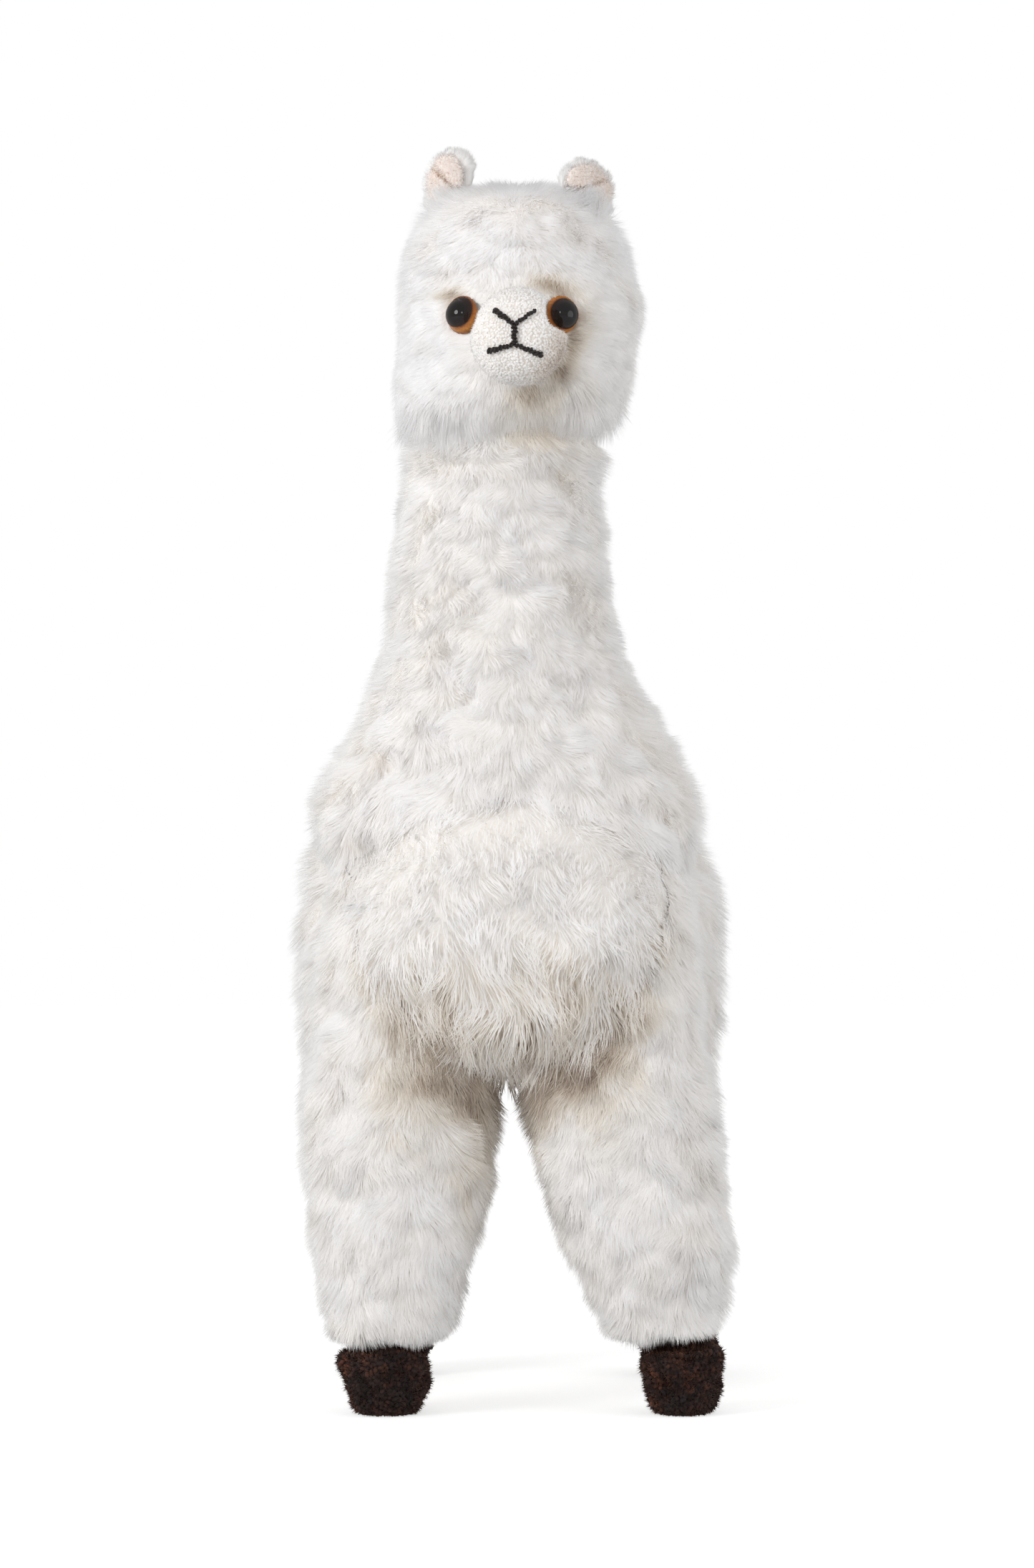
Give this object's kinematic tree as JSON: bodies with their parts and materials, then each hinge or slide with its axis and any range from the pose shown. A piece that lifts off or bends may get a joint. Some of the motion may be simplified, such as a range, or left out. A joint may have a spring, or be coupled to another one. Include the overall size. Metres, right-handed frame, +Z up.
{
  "type": "stuffed alpaca",
  "caption": "Standing plush alpaca with long fleecy white fur, short-pile muzzle and hooves, glossy safety eyes, and a nose and mouth of black thread.",
  "frame": {"origin": "on the surface that the toy stands on, under the middle of its bounding box", "axes": "+Z up; the toy faces -Y and its left side is at +X"},
  "size_m": [0.187, 0.3045, 0.5003],
  "materials": {
    "long_fleece": "long white fleece fur, matte",
    "muzzle_pile": "short curly cream pile, matte",
    "ear_lining_pile": "short pinkish cream pile, matte",
    "hoof_pile": "short dark brown pile, matte",
    "eye_plastic": "polished, amber ring round a dark pupil",
    "washer_plastic": "moulded, hidden",
    "black_thread": "twisted cotton thread, matte"
  },
  "bodies": {
    "root": {"torso": "long_fleece", "neck": "long_fleece", "head": "long_fleece", "front_leg_left": "long_fleece", "front_leg_right": "long_fleece", "rear_leg_left": "long_fleece", "rear_leg_right": "long_fleece", "tail": "long_fleece", "ear_left": "long_fleece", "ear_right": "long_fleece", "muzzle": "muzzle_pile", "ear_lining_left": "ear_lining_pile", "eye_left": "eye_plastic", "eye_washer_left": "washer_plastic", "hoof_front_left": "hoof_pile", "hoof_rear_left": "hoof_pile", "nostril_stitch_left": "black_thread", "mouth_stitch_left": "black_thread", "ear_lining_right": "ear_lining_pile", "eye_right": "eye_plastic", "eye_washer_right": "washer_plastic", "hoof_front_right": "hoof_pile", "hoof_rear_right": "hoof_pile", "nostril_stitch_right": "black_thread", "mouth_stitch_right": "black_thread", "lip_stitch_center": "black_thread"}
  },
  "joints": []
}
